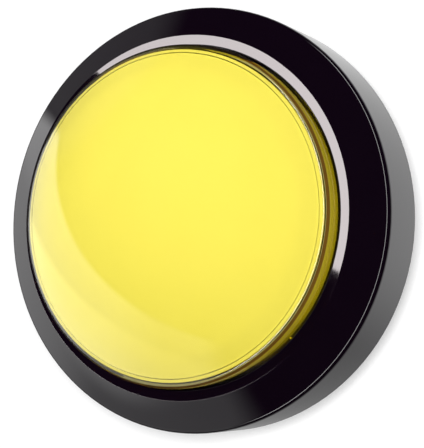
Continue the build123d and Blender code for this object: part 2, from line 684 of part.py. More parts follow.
def contact_rivet(x, head, shelf, upset, head_size):
    """A contact rivet: a head from head to shelf, a shank to upset and a smaller head beyond it."""
    away = math.copysign(CONTACT_HEAD, upset - shelf)
    rivet = contact_disc(x, CONTACT_RADIUS, head, shelf)
    rivet += contact_disc(x, CONTACT_SHANK_RADIUS, shelf, upset)
    rivet += contact_disc(x, head_size, upset, upset + away)
    return rivet


def contact_disc(x, radius, start, end):
    """A short round bar along Z between two heights."""
    return Pos(x, 0, (start + end) / 2) * Cylinder(radius, abs(end - start))


def snap_blade():
    """Thin spring strip from the common terminal's shelf to the contacts."""
    half = BLADE_WIDTH / 2
    left = PIVOT_X - COMMON_STEM_WIDTH
    blade = block((left, CONTACT_X + BLADE_OVERHANG), (-half, half), (BLADE_BOTTOM, BLADE_TOP))
    hole = CONTACT_SHANK_RADIUS + CONTACT_HOLE_CLEARANCE
    return blade - contact_disc(CONTACT_X, hole, BLADE_BOTTOM, BLADE_TOP)


def moving_contact():
    """Contact rivet at the blade's free end."""
    top = BLADE_TOP + CONTACT_HEAD
    return contact_rivet(CONTACT_X, top, BLADE_TOP, BLADE_BOTTOM, CONTACT_RADIUS)


def switch_tab(x):
    """Push-on tab below the case, with its root in the case's wall."""
    half = STRIP_WIDTH / 2
    thick = (-STRIP_THICKNESS / 2, STRIP_THICKNESS / 2)
    tab = block((x - half, x + half), thick, (TAB_END, CASE_BOTTOM + CASE_WALL))
    tab -= cross_pin(x, TAB_END + half, TAB_HOLE_RADIUS, thick)
    return trimmed_tab(tab)


def common_terminal():
    """Tab with a narrow stem up to a shelf, whose rolled edge is the round pivot under the blade."""
    half = BLADE_WIDTH / 2
    left = PIVOT_X - COMMON_STEM_WIDTH
    thick = (-STRIP_THICKNESS / 2, STRIP_THICKNESS / 2)
    shelf_z = (PIVOT_Z - STRIP_THICKNESS / 2, PIVOT_Z + STRIP_THICKNESS / 2)
    terminal = switch_tab(COMMON_X)
    terminal += block((left, PIVOT_X), thick, (CASE_BOTTOM, PIVOT_Z))
    terminal += block((left, PIVOT_X), (-half, half), shelf_z)
    terminal += cross_pin(PIVOT_X, PIVOT_Z, PIVOT_RADIUS, (-half, half))
    return terminal


def normally_open_terminal():
    """Tab with a shelf under the moving contact."""
    half = BLADE_WIDTH / 2
    shelf_top = OPEN_FACE - CONTACT_HEAD
    thick = (-STRIP_THICKNESS / 2, STRIP_THICKNESS / 2)
    terminal = switch_tab(OPEN_X)
    terminal += block((OPEN_X, OPEN_X + STRIP_WIDTH / 2), thick, (CASE_BOTTOM, shelf_top))
    shelf_z = (shelf_top - STRIP_THICKNESS, shelf_top)
    terminal += block((OPEN_X, CONTACT_X + CONTACT_RADIUS), (-half, half), shelf_z)
    return terminal - contact_disc(CONTACT_X, CONTACT_SHANK_RADIUS, *shelf_z)


def normally_closed_terminal():
    """Tab with a strip up the case's end wall and a shelf over the moving contact."""
    half = BLADE_WIDTH / 2
    shelf_bottom = CLOSED_FACE + CONTACT_HEAD
    shelf_z = (shelf_bottom, shelf_bottom + STRIP_THICKNESS)
    right = CLOSED_X + STRIP_WIDTH / 2
    terminal = switch_tab(CLOSED_X)
    terminal += block((right - STRIP_THICKNESS, right), (-half, half), (CASE_BOTTOM + CASE_WALL, shelf_z[1]))
    terminal += block((CONTACT_X - CONTACT_RADIUS, right), (-half, half), shelf_z)
    return terminal - contact_disc(CONTACT_X, CONTACT_SHANK_RADIUS, *shelf_z)


def fixed_contacts():
    """The rivets on the two fixed shelves, facing the moving contact."""
    closed_shelf = CLOSED_FACE + CONTACT_HEAD
    open_shelf = OPEN_FACE - CONTACT_HEAD
    small = (CONTACT_RADIUS + CONTACT_SHANK_RADIUS) / 2
    closed = contact_rivet(CONTACT_X, CLOSED_FACE, closed_shelf, closed_shelf + STRIP_THICKNESS, small)
    opened = contact_rivet(CONTACT_X, OPEN_FACE, open_shelf, open_shelf - STRIP_THICKNESS, small)
    return Compound(children=[closed, opened])


NODES = {
    "bezel_housing": bezel_housing,
    "dome_lens": dome_lens,
    "light_diffuser": light_diffuser,
    "lens_seat_ring": lens_seat_ring,
    "plunger": plunger,
    "return_spring": return_spring,
    "mounting_nut": mounting_nut,
    "lamp_switch_holder": lamp_switch_holder,
    "lamp_base": lamp_base,
    "lamp_led": lamp_led,
    "lamp_leads": lamp_leads,
    "lamp_contact_front": lambda: lamp_contact(-1),
    "lamp_contact_rear": lambda: lamp_contact(1),
    "microswitch_case": microswitch_case,
    "microswitch_cover": microswitch_cover,
    "switch_button": switch_button,
    "snap_blade": snap_blade,
    "moving_contact": moving_contact,
    "common_terminal": common_terminal,
    "normally_open_terminal": normally_open_terminal,
    "normally_closed_terminal": normally_closed_terminal,
    "fixed_contacts": fixed_contacts,
}

os.makedirs("parts", exist_ok=True)
for name, make in NODES.items():
    export_step(make(), f"parts/{name}.step")
swing_deg = math.degrees(BLADE_SWING)
print(f"dome travel {TRAVEL}, switch travel {BUTTON_TRAVEL}, blade swing {swing_deg:.3f} deg")
print(f"blade pivot at x {PIVOT_X:.3f}, z {PIVOT_Z:.3f}, lowest point {TAB_END:.2f}, apex {DOME_APEX:.2f}")
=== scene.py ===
# %% [markdown]
# # A large domed arcade button
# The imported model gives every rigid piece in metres, in its own place. This lesson gives the pieces
# their finishes, models the fine forms that the solids leave plain, and sets up the picture.

# %% Load the frame
import math

import bmesh
import bpy
import numpy as np
from mathutils import Matrix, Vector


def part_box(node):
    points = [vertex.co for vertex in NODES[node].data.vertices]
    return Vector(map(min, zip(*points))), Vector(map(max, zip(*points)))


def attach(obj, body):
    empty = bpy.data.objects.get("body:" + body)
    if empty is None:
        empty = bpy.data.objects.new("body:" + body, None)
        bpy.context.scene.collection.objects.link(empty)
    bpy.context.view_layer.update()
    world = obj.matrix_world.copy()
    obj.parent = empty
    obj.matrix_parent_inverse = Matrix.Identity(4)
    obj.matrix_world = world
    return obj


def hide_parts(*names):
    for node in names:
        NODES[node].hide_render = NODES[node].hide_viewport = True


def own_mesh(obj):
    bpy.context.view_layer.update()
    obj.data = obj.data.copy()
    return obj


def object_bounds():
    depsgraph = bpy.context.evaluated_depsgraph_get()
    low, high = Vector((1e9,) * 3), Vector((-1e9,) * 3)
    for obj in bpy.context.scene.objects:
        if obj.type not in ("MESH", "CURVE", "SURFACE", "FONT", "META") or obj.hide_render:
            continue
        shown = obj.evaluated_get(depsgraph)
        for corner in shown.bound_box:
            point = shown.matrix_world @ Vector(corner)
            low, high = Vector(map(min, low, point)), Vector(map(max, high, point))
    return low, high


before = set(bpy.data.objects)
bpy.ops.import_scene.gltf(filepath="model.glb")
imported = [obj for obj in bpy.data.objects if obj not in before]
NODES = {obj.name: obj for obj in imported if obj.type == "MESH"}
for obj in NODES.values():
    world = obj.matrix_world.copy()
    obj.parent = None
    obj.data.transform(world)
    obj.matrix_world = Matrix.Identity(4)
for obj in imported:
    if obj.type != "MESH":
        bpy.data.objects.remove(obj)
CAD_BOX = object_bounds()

MM = 0.001

# %% [markdown]
# ## The camera
# The photograph looks at the button from a little to one side of its axis, with the picture turned
# so that the axis leans to the left. The camera could be placed by eye and turned until it fits.
# Here two angles hold the view: how far the axis leans away from the line of sight, and in which
# direction of the picture it leans. From them come the three directions of the button, written in
# picture axes (right, up and towards the viewer), and the same matrix later places the lamps.

# %% Picture axes
AXIS_TILT = math.radians(27.51)
LEAN_DIRECTION = math.radians(170.41)
BUTTON_AXIS = np.array([
    math.sin(AXIS_TILT) * math.cos(LEAN_DIRECTION),
    math.sin(AXIS_TILT) * math.sin(LEAN_DIRECTION),
    math.cos(AXIS_TILT),
])
TOWARDS_VIEWER = np.array([0.0, 0.0, 1.0])
# The direction in the panel's plane that goes away from the viewer.
AWAY = BUTTON_AXIS * BUTTON_AXIS[2] - TOWARDS_VIEWER
AWAY = AWAY / np.linalg.norm(AWAY)
TO_BUTTON = np.stack([np.cross(AWAY, BUTTON_AXIS), AWAY, BUTTON_AXIS])


def from_picture(right, up, towards):
    """A vector of the picture, turned into the button's frame."""
    return TO_BUTTON @ np.array([right, up, towards])


print("line of sight in the button's frame:", np.round(from_picture(0, 0, -1), 3))

# %% Camera
PICTURE_LONG_SIDE = 448
FOCAL_PIXELS = 1069
SENSOR_WIDTH = 36.0
CAMERA_DISTANCE = 260 * MM
BUTTON_RIGHT = 0.65 * MM
BUTTON_UP = 0.31 * MM


def aimed(name, data, place, right, up, back):
    """An object with its own axes along three directions of the button's frame."""
    made = bpy.data.objects.new(name, data)
    matrix = np.eye(4)
    matrix[:3, 0] = right
    matrix[:3, 1] = up
    matrix[:3, 2] = back
    matrix[:3, 3] = place
    made.matrix_world = Matrix(matrix.tolist())
    bpy.context.scene.collection.objects.link(made)
    return made


view = bpy.data.cameras.new("camera")
view.sensor_width = SENSOR_WIDTH
view.lens = FOCAL_PIXELS * SENSOR_WIDTH / PICTURE_LONG_SIDE
VIEWPOINT = from_picture(-BUTTON_RIGHT, -BUTTON_UP, CAMERA_DISTANCE)
camera = aimed("camera", view, VIEWPOINT, *TO_BUTTON.T)
bpy.context.scene.camera = camera
print("lens", round(view.lens, 2), "mm")

# %% [markdown]
# ## Writing shaders as sums
# A material is a net of nodes. Written one node at a time it is long, so a small class wraps a
# socket: a sum or a product of two wrapped sockets adds the Math node that computes it, and one
# method adds any other node.

# %% Shader sums
class Field:
    """A value that changes over a surface. Sums and products of fields become Math nodes."""

    def __init__(self, tree, socket):
        self.tree = tree
        self.socket = socket

    def node(self, kind, settings, inputs, output=0):
        """One more node: its type, its settings, then the values or links of its sockets."""
        made = self.tree.nodes.new("ShaderNode" + kind)
        for name, value in settings.items():
            setattr(made, name, value)
        for name, value in inputs.items():
            if isinstance(value, Field):
                self.tree.links.new(value.socket, made.inputs[name])
            else:
                made.inputs[name].default_value = value
        return Field(self.tree, made.outputs[output])

    def math(self, operation, *values):
        """A Math node with this field and the values as its inputs."""
        return self.node("Math", {"operation": operation}, dict(enumerate((self, *values))))

    def __add__(self, other):
        return self.math("ADD", other)

    def __mul__(self, other):
        return self.math("MULTIPLY", other)

    def __sub__(self, other):
        return self.math("SUBTRACT", other)

    def __truediv__(self, other):
        return self.math("DIVIDE", other)

    def __rsub__(self, other):
        return self.math("MULTIPLY_ADD", -1.0, other)

    __radd__ = __add__
    __rmul__ = __mul__

    def step(self, low, high):
        """Zero below low, one above high, and a smooth rise between them."""
        inputs = {"Value": self, "From Min": low, "From Max": high}
        return self.node("MapRange", {"interpolation_type": "SMOOTHSTEP"}, inputs)

    def between(self, low, high):
        """The number low where this field is zero, and high where it is one."""
        return low + (high - low) * self

    def mix(self, low, high):
        """The colour low where this field is zero, and high where it is one."""
        return self.node("Mix", {"data_type": "RGBA"}, {0: self, 6: low, 7: high}, 2)


def shade(red, green, blue):
    """A colour with full opacity, from its linear parts."""
    return (red, green, blue, 1.0)


print("shader sums ready")

# %% [markdown]
# ## The shared base of every finish
# All finishes use the same start: one Principled shader, and the object's own coordinates, which
# are the frame's metres because every object sits at the origin. Distances from the button's axis
# and heights above the panel then come from the same point that the surface is at. A UV map could
# place a pattern too, but these pieces need none, because every change in their finish follows the
# real moulding or the metal's rolling direction.

# %% A blank finish
class Finish:
    """One material: its net, its Principled shader, and places on the surface in millimetres."""

    def __init__(self, name, **constants):
        self.material = bpy.data.materials.new(name)
        self.material.use_nodes = True
        tree = self.material.node_tree
        self.shader = tree.nodes["Principled BSDF"]
        start = Field(tree, None)
        self.place = start.node("TexCoord", {}, {}, "Object")
        for axis in ("X", "Y", "Z"):
            part = self.place.node("SeparateXYZ", {}, {"Vector": self.place}, axis)
            setattr(self, axis.lower(), part / MM)
        self.radius = (self.x * self.x + self.y * self.y).math("SQRT")
        self.set(**constants)

    def set(self, **values):
        """Sets sockets of the shader, named in lower case with _ for a space."""
        for name, value in values.items():
            words = [word.upper() if word == "ior" else word.title() for word in name.split("_")]
            socket = self.shader.inputs[" ".join(words)]
            if isinstance(value, Field):
                value.tree.links.new(value.socket, socket)
            else:
                socket.default_value = value

    def noise(self, size_mm, detail=3.0, finer=(1.0, 1.0, 1.0)):
        """Cloudy noise with patches of about this size, divided along each axis by a factor."""
        scale = tuple(factor / (size_mm * MM) for factor in finer)
        grid = self.place.node("VectorMath", {"operation": "MULTIPLY"}, {0: self.place, 1: scale})
        return grid.node("TexNoise", {}, {"Vector": grid, "Scale": 1.0, "Detail": detail})

    def bump(self, height, depth_mm):
        """Lets a height field turn the surface's normal."""
        inputs = {"Height": height, "Distance": depth_mm * MM, "Strength": 1.0}
        self.set(normal=height.node("Bump", {}, inputs))


print("finishes ready")

# %% [markdown]
# ## Surfaces from grids
# A turned or swept piece is a grid of points: one direction runs along its section, the other round
# the axis or along a path. Modelling tools could draw the same by hand, but a formula keeps exact
# sizes and gives as fine a mesh as the reflections need. The sizes are written in millimetres and
# become metres in the mesh. The grid's quads are joined where points meet, so poles and seams
# close.

# %% Grid meshes
def grid_faces(rows, columns):
    """Quads between neighbouring rows and columns, with the last column joined to the first."""
    across = np.arange(columns)
    first = np.arange(rows - 1)[:, None] * columns + across
    beside = np.arange(rows - 1)[:, None] * columns + (across + 1) % columns
    return np.stack([first, beside, beside + columns, first + columns], axis=-1).reshape(-1, 4)


def grid_part(grid_mm):
    """Points in metres and faces of a grid that closes round its columns."""
    rows, columns, _ = grid_mm.shape
    return grid_mm.reshape(-1, 3) * MM, grid_faces(rows, columns)


def around_axis(radius, height, angle):
    """Points at these distances from the button's axis, heights and directions."""
    parts = np.broadcast_arrays(radius * np.cos(angle), radius * np.sin(angle), height)
    return np.stack(parts, axis=-1)


print("quads between 3 rows of 4 points:", len(grid_faces(3, 4)))

# %% Pieces from grids
MERGE_DISTANCE = 1e-7
SHARP_EDGE = math.radians(35.0)


def piece(name, parts, ends=()):
    """One object from pairs of points in metres and faces, merged, turned outwards and smooth."""
    points = np.concatenate([part_points for part_points, _ in parts])
    faces = []
    first = 0
    for part_points, part_faces in parts:
        faces.extend((part_faces + first).tolist())
        first += len(part_points)
    faces.extend(ends)
    mesh = bpy.data.meshes.new(name)
    mesh.from_pydata(points.tolist(), [], faces)
    shell = bmesh.new()
    shell.from_mesh(mesh)
    bmesh.ops.remove_doubles(shell, verts=shell.verts, dist=MERGE_DISTANCE)
    bmesh.ops.recalc_face_normals(shell, faces=shell.faces)
    shell.to_mesh(mesh)
    shell.free()
    mesh.shade_smooth()
    mesh.set_sharp_from_angle(angle=SHARP_EDGE)
    made = bpy.data.objects.new(name, mesh)
    bpy.context.scene.collection.objects.link(made)
    print(name, len(mesh.vertices), "points", len(mesh.polygons), "faces")
    return made


print("edges stay sharp from", round(math.degrees(SHARP_EDGE)), "degrees")

# %% [markdown]
# ## The lens
# The lens is a clear moulded cap: a shallow dome, a rounded corner and a straight skirt. A sphere
# and a cylinder could be joined and bevelled, but facets would show in what the clear plastic
# bends. So its section is drawn from circle arcs and turned about the axis, finer than the frame
# needs. Inside the skirt a shallow band reaches in to the white ring that carries the lens, and on
# one side it starts higher, as the photograph's skirt shows. Four lugs inside the skirt's foot snap
# under the plunger's disc.

# %% Lens section
LENS_LOW, LENS_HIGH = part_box("dome_lens")
LENS_RADIUS = LENS_HIGH[0] / MM
LENS_APEX = LENS_HIGH[2] / MM
LENS_BOTTOM = LENS_LOW[2] / MM
LENS_WALL = 1.7
LENS_INNER = LENS_RADIUS - LENS_WALL
LENS_CORNER_ROUND = 3.0
DOME_RISE = 11.6
DOME_SPHERE = (LENS_RADIUS**2 + DOME_RISE**2) / (2 * DOME_RISE)
DOME_CENTRE = LENS_APEX - DOME_SPHERE
DOME_ROWS = 64
CORNER_ROWS = 24
SEAT_TOUCH = 36.86
SEAT_BAND = (19.5, 22.3)
BAND_SLOPE = 0.1


def arc(centre, radius, first, last, count):
    """Places (distance, height) on a circle, from one tilt off the axis to another."""
    tilt = np.linspace(first, last, count)
    return np.stack([centre[0] + radius * np.sin(tilt), centre[1] + radius * np.cos(tilt)], axis=1)


def lens_section():
    """Dome, corner, skirt and back inside: arcs of two spheres, a fillet and straight walls."""
    round_radius = LENS_RADIUS - LENS_CORNER_ROUND
    round_height = DOME_CENTRE + math.sqrt((DOME_SPHERE - LENS_CORNER_ROUND) ** 2 - round_radius**2)
    edge = math.atan2(round_radius, round_height - DOME_CENTRE)
    inner_sphere = DOME_SPHERE - LENS_WALL
    inner_edge = math.asin(LENS_INNER / inner_sphere)
    return np.concatenate([
        arc((0, DOME_CENTRE), DOME_SPHERE, 0, edge, DOME_ROWS),
        arc((round_radius, round_height), LENS_CORNER_ROUND, edge, math.pi / 2, CORNER_ROWS),
        [(LENS_RADIUS, LENS_BOTTOM), (LENS_INNER, LENS_BOTTOM)],
        [(LENS_INNER, SEAT_BAND[0] - BAND_SLOPE), (SEAT_TOUCH, SEAT_BAND[0])],
        [(SEAT_TOUCH, SEAT_BAND[1]), (LENS_INNER, SEAT_BAND[1] + BAND_SLOPE)],
        arc((0, DOME_CENTRE), inner_sphere, inner_edge, 0, DOME_ROWS),
    ])


print("lens radius", round(LENS_RADIUS, 2), "mm, sphere radius", round(DOME_SPHERE, 2), "mm")

# %% Sides and smooth rises
def off_axis(tilt_deg, turn_deg):
    """The direction that tilts off the button's axis towards a side of the picture."""
    tilt, turn = math.radians(tilt_deg), math.radians(turn_deg)
    side = from_picture(math.cos(turn), math.sin(turn), 0)
    side[2] = 0
    return math.sin(tilt) * side / np.linalg.norm(side) + np.array([0, 0, math.cos(tilt)])


def whole_turn(segments):
    """Directions evenly round the axis."""
    return np.linspace(0, 2 * math.pi, segments, endpoint=False)


def ease(low, high, value):
    """Zero below low, one above high, and a smooth rise between them."""
    share = np.clip((value - low) / (high - low), 0, 1)
    return share * share * (3 - 2 * share)


LOOSE_SIDE = off_axis(90, 110)
print("side where the lens is loose:", np.round(LOOSE_SIDE, 3))

# %% Lens cap
LENS_SEGMENTS = 384
LOOSE_SPAN = (0.42, 0.85)
SEAT_RISE = 2.2
LUG_TURNS_DEG = (45, 135, 225, 315)
LUG_WIDTH_DEG = 20.0
LUG_TOP = 16.75
LUG_HEIGHT = 1.2
LUG_REACH = 0.8
LUG_ROOT = 0.2
LUG_ROWS = 12


def lens_shell():
    """The section turned, where the band that touches the seat ring starts higher on one side."""
    section = lens_section()
    angle = whole_turn(LENS_SEGMENTS)
    side = np.cos(angle) * LOOSE_SIDE[0] + np.sin(angle) * LOOSE_SIDE[1]
    height = np.repeat(section[:, 1:], LENS_SEGMENTS, axis=1)
    band_foot = np.abs(section[:, 1] - SEAT_BAND[0]) < 1.5 * BAND_SLOPE
    height[band_foot] += SEAT_RISE * ease(*LOOSE_SPAN, side)
    return grid_part(around_axis(section[:, :1], height, angle))


def snap_lug(middle_deg):
    """A bar of square section along an arc inside the skirt, closed by its two ends."""
    half = LUG_WIDTH_DEG / 2
    angle = np.radians(np.linspace(middle_deg - half, middle_deg + half, LUG_ROWS))[:, None]
    inner, outer = LENS_INNER - LUG_REACH, LENS_INNER + LUG_ROOT
    radius = np.array([inner, outer, outer, inner])
    height = np.array([LUG_TOP - LUG_HEIGHT, LUG_TOP - LUG_HEIGHT, LUG_TOP, LUG_TOP])
    points, faces = grid_part(around_axis(radius, height, angle))
    ends = np.array([[0, 1, 2, 3], [0, 1, 2, 3]]) + [[0], [len(points) - 4]]
    return points, np.concatenate([faces, ends])


lens_cap = piece("lens_cap", [lens_shell()] + [snap_lug(turn) for turn in LUG_TURNS_DEG])

# %% [markdown]
# ## Clear yellow
# The plastic is dyed through, and the dome's bright even yellow is really the white dish seen
# through it. A painted yellow would lose the amber skirt and the dark line at the dish's edge, so
# the lens transmits light. Light that crosses the skirt goes through more plastic than light that
# crosses the dome. The shader tints only at the surface, so the skirt gets a deeper dye. Above it
# are painted shade: a brown band on the outer wall and the dark brown line under the rounded corner,
# which stand for the dark seen through them. Lamp rays pass the lens straight, which keeps the dish
# evenly lit, and the black ring doesn't mirror it.

# %% Yellow finish
# Heights between which a zone starts or ends. OUTSIDE is a distance from the axis.
SKIRT_TOP = (22.0, 22.6)
WALL_FOOT = (20.6, 21.0)
CORNER_FOOT = (22.9, 23.2)
CORNER_TOP = (23.85, 24.1)
OUTSIDE = (37.2, 37.5)
COAT_FOOT = (23.5, 24.0)
COAT_TOP = (25.0, 26.0)
COAT_LOSS = 0.6
# Each zone's colour where the dye is thinnest and thickest. The wall's brown and the corner's
# near-black are painted shade: darker than any dye, they stand for the dark seen through them.
DYES_AND_PAINTED_SHADE = {
    "dome": ((0.970, 0.860, 0.132), (0.978, 0.872, 0.146)),
    "skirt": ((0.930, 0.725, 0.016), (0.950, 0.750, 0.022)),
    "wall": ((0.500, 0.320, 0.001), (0.520, 0.340, 0.002)),
    "corner": ((0.075, 0.018, 0.0005), (0.085, 0.022, 0.0007)),
}
LENS_GLOSS = (0.012, 0.032)


def stand_in(made, finish, node, body):
    """A new piece that takes a CAD piece's place, body and finish."""
    made.data.materials.append(finish.material)
    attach(made, body)
    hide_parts(node)
    print(made.name, "stands for", node, "in", finish.material.name)


lens = Finish("lens_yellow", transmission_weight=0.99, ior=1.49, coat_roughness=0.02)
cloudy = lens.noise(size_mm=14.0, detail=2.0)
dyes_and_painted_shade = {zone: cloudy.mix(shade(*thin), shade(*thick)) for zone, (thin, thick) in DYES_AND_PAINTED_SHADE.items()}
outside = lens.radius.step(*OUTSIDE)
in_corner = outside * (1 - lens.z.step(*CORNER_TOP))
painted_brown_band = outside * lens.z.step(*WALL_FOOT)
# The brown band and the dark line under the corner are painted shade in the lens's colour.
below_corner = painted_brown_band.mix(dyes_and_painted_shade["skirt"], dyes_and_painted_shade["wall"])
side_wall = lens.z.step(*CORNER_FOOT).mix(below_corner, dyes_and_painted_shade["corner"])
in_dome = lens.z.step(*SKIRT_TOP) * (1 - in_corner)
lens.set(base_color=in_dome.mix(side_wall, dyes_and_painted_shade["dome"]))
lens.set(roughness=lens.noise(size_mm=2.5, detail=6.0).between(*LENS_GLOSS))
lens.set(coat_weight=lens.z.step(*COAT_FOOT) * (1 - COAT_LOSS * lens.z.step(*COAT_TOP)))
stand_in(lens_cap, lens, "dome_lens", "dome")
lens_cap.visible_shadow = False
lens_cap.visible_glossy = False

# %% [markdown]
# ## White mouldings inside the lens
# The dish, the ring that carries the lens and the plunger are matt white mouldings. Their moulds
# are eroded by sparks, which leaves a fine grain. Modelled grain would need millions of faces, so a
# small noise tips the normal and another clouds the colour and the gloss a little. The black ring
# doesn't mirror these pieces either.

# %% Moulded plastics
CLOUD_GRAINS = 30
GLOSS_SPREAD = 0.06


def dress(finish, *names):
    """Gives CAD pieces a finish in place of their plain one."""
    for name in names:
        slots = NODES[name].data.materials
        slots.clear()
        slots.append(finish.material)


def moulded(name, colour, roughness, grain_mm, depth_mm, spread=0.12):
    """A moulded plastic: grain in the surface, and cloudy changes of colour and gloss."""
    made = Finish(name)
    cloud = made.noise(grain_mm * CLOUD_GRAINS)
    low = shade(*(part * (1 - spread) for part in colour))
    high = shade(*(min(part * (1 + spread), 1.0) for part in colour))
    made.set(base_color=cloud.mix(low, high))
    made.set(roughness=cloud.between(roughness - GLOSS_SPREAD, roughness + GLOSS_SPREAD))
    made.bump(made.noise(grain_mm, detail=4.0), depth_mm)
    return made


dish_white = moulded(
    "diffuser_white", (0.86, 0.86, 0.84), roughness=0.5, grain_mm=0.25, depth_mm=0.004, spread=0.01
)
dress(dish_white, "light_diffuser")
plunger_white = moulded(
    "plunger_white", (0.84, 0.84, 0.80), roughness=0.45, grain_mm=0.3, depth_mm=0.004, spread=0.015
)
dress(plunger_white, "plunger", "lens_seat_ring")
for name in ("light_diffuser", "plunger", "lens_seat_ring"):
    NODES[name].visible_glossy = False
print("white mouldings dressed")

# %% [markdown]
# ## The stem's thread
# The black housing is one moulding: ring, well and threaded stem. The frame has the stem as a plain
# cylinder with a relief at each end, and the thread belongs between them. A bump would leave the
# stem's outline smooth, so the cylinder's triangles are left out of a copy, and a grid with the
# real thread goes in. The grid takes its directions from the copy's own points at the reliefs, so
# both close without a gap.

# %% Skins of a CAD piece
NEAR = 0.004
SAME_DIRECTION = 1e-4


def cad_triangles(node):
    """A CAD piece's points in millimetres and its triangles."""
    data = NODES[node].data
    points = np.empty(len(data.vertices) * 3)
    data.vertices.foreach_get("co", points)
    corners = np.empty(len(data.loops), dtype=int)
    data.loops.foreach_get("vertex_index", corners)
    return points.reshape(-1, 3) / MM, corners.reshape(-1, 3)


def opened(points, triangles, cut):
    """The piece without the triangles whose three corners are all marked, in metres."""
    kept = triangles[~cut[triangles].all(axis=1)]
    used, corners = np.unique(kept, return_inverse=True)
    return points[used] * MM, corners.reshape(-1, 3)


def ring_angles(points, radius, height):
    """Directions of the piece's own points on one circle, in order."""
    near = np.abs(np.hypot(points[:, 0], points[:, 1]) - radius) < NEAR
    near = near & (np.abs(points[:, 2] - height) < NEAR)
    angle = np.sort(np.arctan2(points[near, 1], points[near, 0]))
    return angle[np.append(True, np.diff(angle) > SAME_DIRECTION)]


print("triangles in the housing:", len(NODES["bezel_housing"].data.polygons))

# %% Stem thread
PITCH = 1.5
STEM_RADIUS = 11.9
ROOT_RADIUS = 11.15
RELIEF_RADIUS = 11.1
THREAD_TOP = -2.2
THREAD_BOTTOM = -33.2
ROWS_PER_TURN = 16
GROOVE_FLANK = (0.12, 0.38)


def thread_phase(height, angle):
    """Distance in turns from a groove that climbs as a helix: 0 in it, 0.5 on the crest."""
    turn = height / PITCH - angle / (2 * math.pi)
    return np.abs(turn - np.floor(turn) - 0.5)


def heights(top, bottom):
    """Levels down a thread, as a column."""
    return np.linspace(top, bottom, int((top - bottom) / PITCH * ROWS_PER_TURN) + 1)[:, None]


def stem_thread(angle):
    """Radius goes from the root to the crest with the distance from the groove's middle."""
    level = heights(THREAD_TOP, THREAD_BOTTOM)
    crest = ease(*GROOVE_FLANK, thread_phase(level, angle))
    skin_radius = ROOT_RADIUS + (STEM_RADIUS - ROOT_RADIUS) * crest
    rings = np.concatenate([level[:1], level, level[-1:]])
    reliefs = np.full((1, len(angle)), RELIEF_RADIUS)
    return grid_part(around_axis(np.concatenate([reliefs, skin_radius, reliefs]), rings, angle))


print("turns of thread on the stem:", round((THREAD_TOP - THREAD_BOTTOM) / PITCH, 1))

# %% [markdown]
# ## The ring's outer skin
# The ring's black gloss is seen only by what it mirrors, and a mirrored edge shows every facet and
# every soft corner. The frame's triangles could be smoothed, but its corners don't have the rounds
# that the photograph's highlights show. So the skin from the foot over the flank, the sloping face
# and the crest to the lip is left out too, and turned again from a line of corners with rounds of
# their own. It stays inside the frame's box, and takes its directions from the copy's own points,
# as the thread does.

# %% Ring face
FOOT = (49.96, 0.0)
SHOULDER = (49.2, 15.4)
CREST = (41.6, 19.8)
LIP = (39.3, 19.1)
ROUNDS = (0.2, 1.8, 0.08, 0.4)
ROUND_ROWS = 16
LEAD = 0.04


def turned(section, angle):
    """A section turned about the axis: each place (distance, height) becomes a ring of points."""
    return grid_part(around_axis(section[:, :1], section[:, 1:], angle))


def fillet(before, corner, after, radius):
    """The arc that rounds a corner: one radius turned into the other, with a lead at each end."""
    towards = np.array([before, after]) - corner
    towards = towards / np.linalg.norm(towards, axis=1, keepdims=True)
    half = math.acos(towards[0] @ towards[1]) / 2
    ends = corner + towards * radius / math.tan(half)
    bisector = towards.sum(axis=0) / np.linalg.norm(towards.sum(axis=0))
    middle = corner + bisector * radius / math.sin(half)
    sweep = math.pi - 2 * half
    share = np.linspace(0, 1, ROUND_ROWS)[:, None]
    arms = ends - middle
    turn = np.sin((1 - share) * sweep) * arms[0] + np.sin(share * sweep) * arms[1]
    leads = ends + towards * LEAD
    return np.concatenate([leads[:1], middle + turn / math.sin(sweep), leads[1:]])


def ring_face(edge_radius, lip_end, angle):
    """Foot, flank, sloping face, crest and land: a line with rounded corners, turned."""
    corners = np.array([(edge_radius, 0.0), FOOT, SHOULDER, CREST, LIP, (LIP[0], lip_end)])
    arcs = [fillet(*corners[i:i + 3], radius) for i, radius in enumerate(ROUNDS)]
    return turned(np.concatenate([corners[:1], *arcs, corners[-1:]]), angle)


print("rounds of foot, shoulder, crest and lip in mm:", ROUNDS)

# %% Threaded housing
FACE_DEPTH = 1.15


def housing_parts():
    """The CAD piece without its stem's skin and its ring's outer skin, and grids for both."""
    points, triangles = cad_triangles("bezel_housing")
    height = points[:, 2]
    radius = np.hypot(points[:, 0], points[:, 1])
    stem = (radius > RELIEF_RADIUS - NEAR) & (radius < STEM_RADIUS + NEAR)
    stem = stem & (height < THREAD_TOP + NEAR) & (height > THREAD_BOTTOM - NEAR)
    edge_radius = radius[np.abs(height) < NEAR].max()
    # The ring's skin is what lies above a line just under the sloping face, and the flank.
    slope = (CREST[1] - SHOULDER[1]) / (SHOULDER[0] - CREST[0])
    face = height > CREST[1] - slope * np.maximum(radius - CREST[0], 0) - FACE_DEPTH
    face = (radius > LIP[0] - NEAR) & (face | (radius > edge_radius - NEAR))
    lip_end = height[np.abs(radius - LIP[0]) < NEAR].max()
    return [
        opened(points, triangles, stem | face),
        stem_thread(ring_angles(points, RELIEF_RADIUS, THREAD_TOP)),
        ring_face(edge_radius, lip_end, ring_angles(points, edge_radius, 0.0)),
    ]


threaded_housing = piece("threaded_housing", housing_parts())

# %% [markdown]
# ## Polished and matt black
# The mould is polished where the ring is seen and only spark-eroded on the well's floor, the panel
# face and the stem. Two materials could do that, but one moulding has one plastic. So distance from
# the axis and height choose between two ranges of roughness, and the grain's bump fades out where
# the mould is polished.

